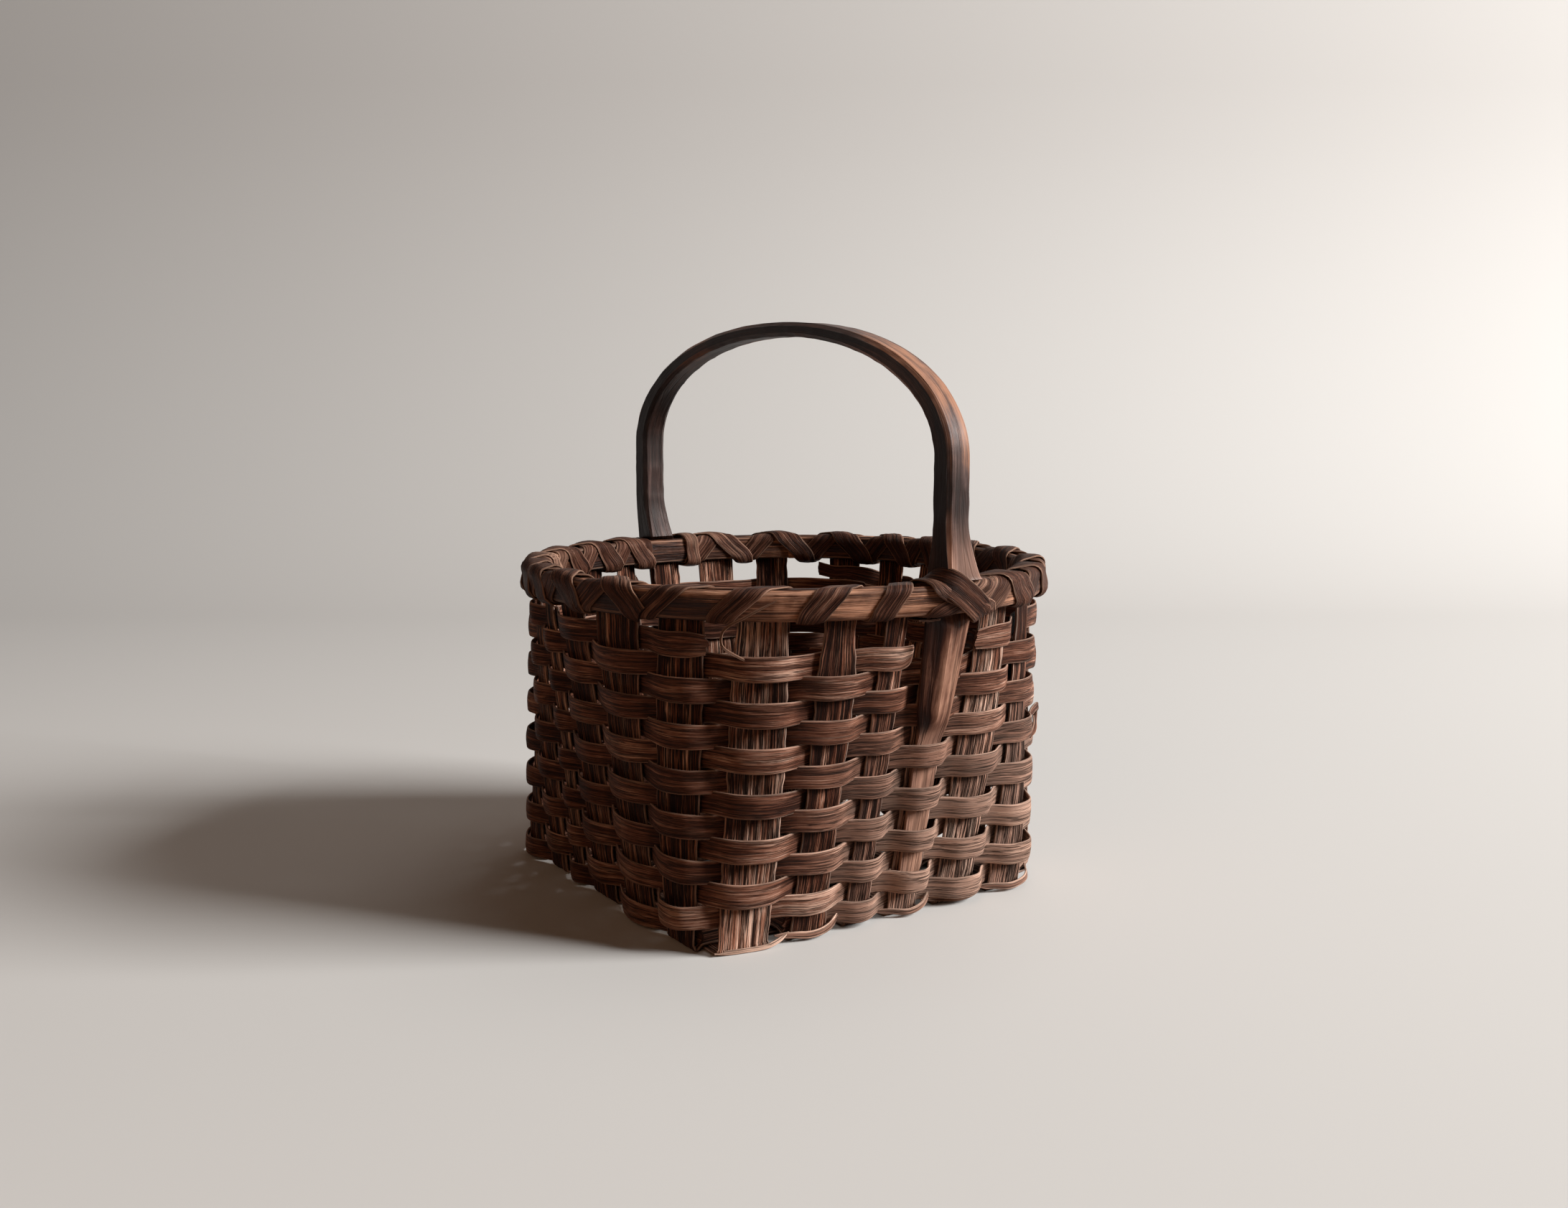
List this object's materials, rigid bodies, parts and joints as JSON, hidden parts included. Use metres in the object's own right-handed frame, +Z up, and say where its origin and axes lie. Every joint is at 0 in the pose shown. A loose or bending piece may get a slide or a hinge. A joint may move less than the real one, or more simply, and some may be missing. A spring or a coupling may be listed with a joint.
{
  "type": "handled splint basket",
  "caption": "Small open splint basket, square at the base and round at the lashed rim, with a fixed carved bow handle.",
  "frame": {"origin": "on the surface that the basket stands on, under the middle of its whole outline", "axes": "+Z up, X along the handle, Y across it"},
  "size_m": [0.1838, 0.1774, 0.1889],
  "materials": {
    "upright_splint": "dry coarse-grained ash splint, worn and darkened",
    "weaver_splint": "smooth dark splint with a satin sheen",
    "rim_wood": "shaved dark hardwood, satin",
    "lashing_splint": "thin dark splint with a satin sheen",
    "handle_wood": "carved hardwood, dark handled patina with lighter worn edges"
  },
  "bodies": {
    "root": {"upright_long_1": "upright_splint", "upright_long_2": "upright_splint", "upright_long_3": "upright_splint", "upright_long_4": "upright_splint", "upright_long_5": "upright_splint", "upright_long_6": "upright_splint", "upright_cross_1": "upright_splint", "upright_cross_2": "upright_splint", "upright_cross_3": "upright_splint", "upright_cross_4": "upright_splint", "upright_cross_5": "upright_splint", "upright_cross_6": "upright_splint", "weaver_row_01": "weaver_splint", "weaver_row_02": "weaver_splint", "weaver_row_03": "weaver_splint", "weaver_row_04": "weaver_splint", "weaver_row_05": "weaver_splint", "weaver_row_06": "weaver_splint", "weaver_row_07": "weaver_splint", "weaver_row_08": "weaver_splint", "weaver_row_09": "weaver_splint", "weaver_row_10": "weaver_splint", "weaver_row_11": "weaver_splint", "weaver_row_12": "weaver_splint", "weaver_row_13": "weaver_splint", "weaver_row_13_loose": "weaver_splint", "weaver_row_14": "weaver_splint", "rim_inner": "rim_wood", "rim_outer": "rim_wood", "lashing_first": "lashing_splint", "lashing_second": "lashing_splint", "handle": "handle_wood"}
  },
  "joints": []
}
